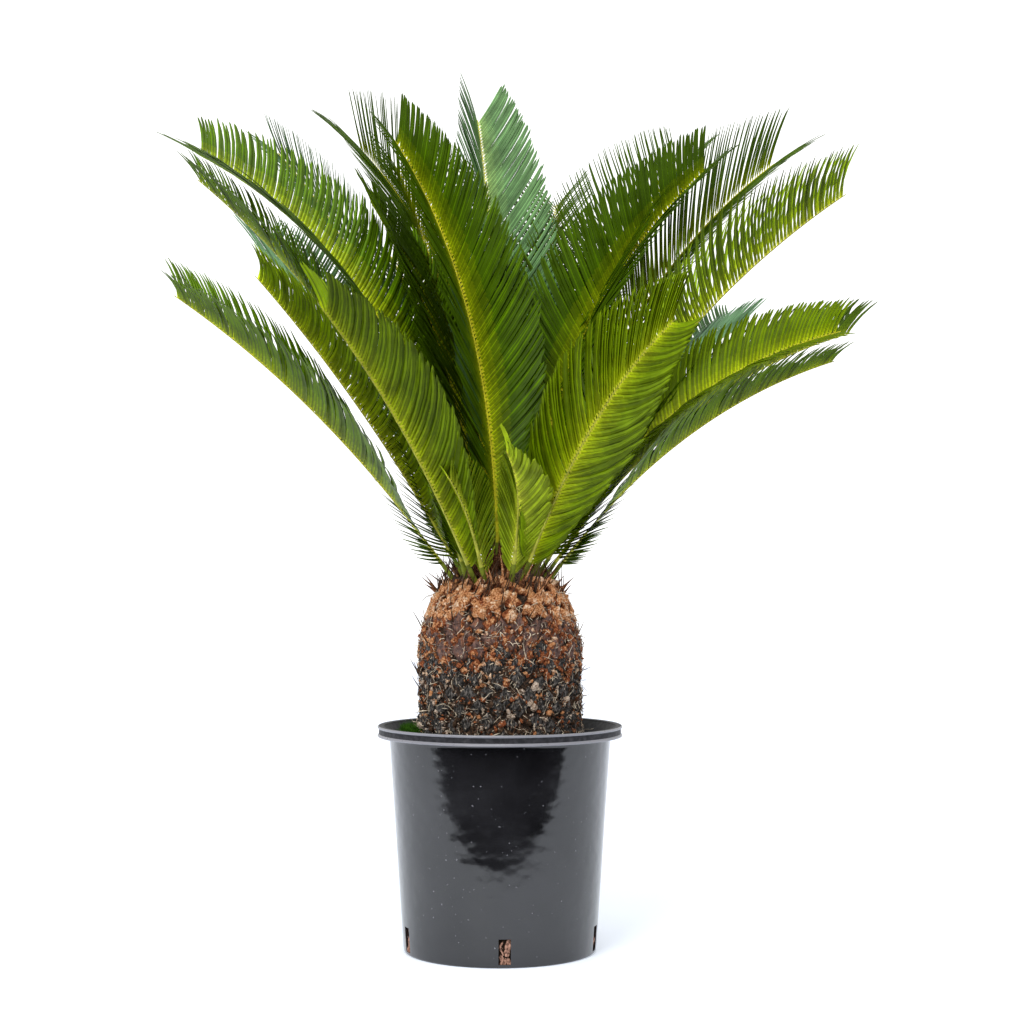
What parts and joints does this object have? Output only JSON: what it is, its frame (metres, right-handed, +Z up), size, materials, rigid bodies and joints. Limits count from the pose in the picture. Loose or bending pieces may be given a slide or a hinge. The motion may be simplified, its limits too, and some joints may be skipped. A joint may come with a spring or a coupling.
{
  "type": "potted sago palm",
  "caption": "Sago palm with a squat scaly trunk and a full crown of stiff feather fronds, in a round black nursery pot filled with soil.",
  "frame": {"origin": "middle of the pot's flat underside, where it stands", "axes": "+Z up through the trunk, -Y to the front of the plant, +X to its right seen from the front"},
  "size_m": [0.8099, 0.7917, 1.0221],
  "materials": {
    "pot_plastic": "glossy black moulded plastic, dusty and lightly scuffed",
    "potting_soil": "dark brown crumbly potting soil with bark and roots",
    "moss": "soft green moss",
    "trunk_scales": "rough grey-brown leaf bases with tan wool and fibres between them",
    "frond_green": "waxy deep green leaflets on a smooth yellow-green rib"
  },
  "bodies": {
    "root": {"pot": "pot_plastic", "soil": "potting_soil", "moss": "moss", "trunk": "trunk_scales", "frond_01": "frond_green", "frond_02": "frond_green", "frond_03": "frond_green", "frond_04": "frond_green", "frond_05": "frond_green", "frond_06": "frond_green", "frond_07": "frond_green", "frond_08": "frond_green", "frond_09": "frond_green", "frond_10": "frond_green", "frond_11": "frond_green", "frond_12": "frond_green", "frond_13": "frond_green", "frond_14": "frond_green", "frond_15": "frond_green", "frond_16": "frond_green", "frond_17": "frond_green", "frond_18": "frond_green", "frond_19": "frond_green", "frond_20": "frond_green", "frond_21": "frond_green", "frond_22": "frond_green", "frond_23": "frond_green", "frond_24": "frond_green", "frond_25": "frond_green", "frond_26": "frond_green", "frond_27": "frond_green", "frond_28": "frond_green", "frond_29": "frond_green", "frond_30": "frond_green", "frond_31": "frond_green"}
  },
  "joints": []
}
